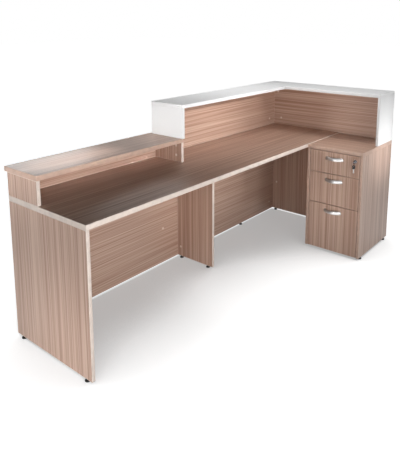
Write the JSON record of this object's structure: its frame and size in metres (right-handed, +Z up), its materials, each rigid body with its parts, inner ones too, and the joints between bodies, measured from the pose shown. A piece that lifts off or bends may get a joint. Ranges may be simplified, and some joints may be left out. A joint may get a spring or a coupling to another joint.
{
  "type": "reception desk",
  "caption": "L-shaped walnut-tone reception desk with a low riser, a white corner hutch and a lockable drawer pedestal under its return.",
  "frame": {"origin": "on the floor, at the middle of the desk's overall plan", "axes": "+X along the main run towards the return, +Y from the staff side to the public side, +Z up"},
  "size_m": [2.4, 1.025, 1.1],
  "materials": {
    "walnut_board": "satin walnut-tone laminate with pale lipped edges",
    "white_board": "white satin laminate",
    "glide_plastic": "black moulded",
    "satin_nickel": "satin plated",
    "grey_enamel": "grey powder coat",
    "zinc_steel": "zinc plated",
    "chrome": "polished plate",
    "key_plastic": "black moulded head"
  },
  "bodies": {
    "desk": {"main_worktop": "walnut_board", "left_end_panel": "walnut_board", "middle_support_panel": "walnut_board", "right_end_panel": "walnut_board", "left_modesty_panel": "walnut_board", "right_modesty_panel": "walnut_board", "riser_top": "walnut_board", "riser_left_side": "walnut_board", "riser_right_side": "walnut_board", "riser_back": "walnut_board", "hutch_top_main": "white_board", "hutch_top_return": "white_board", "hutch_left_end": "white_board", "hutch_right_end": "white_board", "hutch_back_main": "walnut_board", "hutch_back_return": "walnut_board", "return_top": "walnut_board", "pedestal_inner_side": "walnut_board", "return_end_panel": "walnut_board", "pedestal_back": "walnut_board", "pedestal_bottom": "walnut_board", "lock_rail": "zinc_steel", "glide_left_end_staff": "glide_plastic", "glide_left_end_public": "glide_plastic", "glide_middle_staff": "glide_plastic", "glide_middle_public": "glide_plastic", "glide_right_modesty": "glide_plastic", "glide_right_end": "glide_plastic", "glide_inner_side_front": "glide_plastic", "glide_inner_side_back": "glide_plastic", "glide_return_end_front": "glide_plastic", "glide_return_end_back": "glide_plastic", "top_runner_left_cabinet": "zinc_steel", "top_runner_right_cabinet": "zinc_steel", "middle_runner_left_cabinet": "zinc_steel", "middle_runner_right_cabinet": "zinc_steel", "bottom_runner_left_cabinet": "zinc_steel", "bottom_runner_right_cabinet": "zinc_steel"},
    "top_drawer": {"top_drawer_front": "walnut_board", "top_drawer_handle": "satin_nickel", "top_drawer_tray": "grey_enamel", "top_runner_left_drawer": "zinc_steel", "top_runner_right_drawer": "zinc_steel", "lock_body": "chrome"},
    "middle_drawer": {"middle_drawer_front": "walnut_board", "middle_drawer_handle": "satin_nickel", "middle_drawer_tray": "grey_enamel", "middle_runner_left_drawer": "zinc_steel", "middle_runner_right_drawer": "zinc_steel"},
    "bottom_drawer": {"bottom_drawer_front": "walnut_board", "bottom_drawer_handle": "satin_nickel", "bottom_drawer_tray": "grey_enamel", "bottom_runner_left_drawer": "zinc_steel", "bottom_runner_right_drawer": "zinc_steel"},
    "bottom_runner_middles": {"bottom_runner_left_middle": "zinc_steel", "bottom_runner_right_middle": "zinc_steel"},
    "lock_plug": {"lock_barrel": "chrome", "key": "key_plastic", "key_ring": "chrome"},
    "spare_key": {"spare_key": "key_plastic"}
  },
  "joints": [
    {"name": "top_drawer_slide", "type": "slide", "parent": "desk", "child": "top_drawer", "axis": [-1, 0, 0], "range_m": [0, 0.3]},
    {"name": "middle_drawer_slide", "type": "slide", "parent": "desk", "child": "middle_drawer", "axis": [-1, 0, 0], "range_m": [0, 0.3]},
    {"name": "bottom_drawer_slide", "type": "slide", "parent": "desk", "child": "bottom_drawer", "axis": [-1, 0, 0], "range_m": [0, 0.4]},
    {"name": "bottom_runner_extend", "type": "slide", "parent": "desk", "child": "bottom_runner_middles", "axis": [-1, 0, 0], "range_m": [0, 0.2]},
    {"name": "lock_turn", "type": "hinge", "parent": "top_drawer", "child": "lock_plug", "pos_m": [0.7, -0.4615, 0.682], "axis": [1, 0, 0], "range_deg": [0, 90]},
    {"name": "spare_key_hang", "type": "hinge", "parent": "lock_plug", "child": "spare_key", "pos_m": [0.6743, -0.4615, 0.6688], "axis": [1, 0, 0], "range_deg": [-90, 0]}
  ],
  "couplings": [
    {"joint": "bottom_runner_extend", "follows": "bottom_drawer_slide", "ratio": 0.5},
    {"joint": "spare_key_hang", "follows": "lock_turn", "ratio": -1}
  ]
}
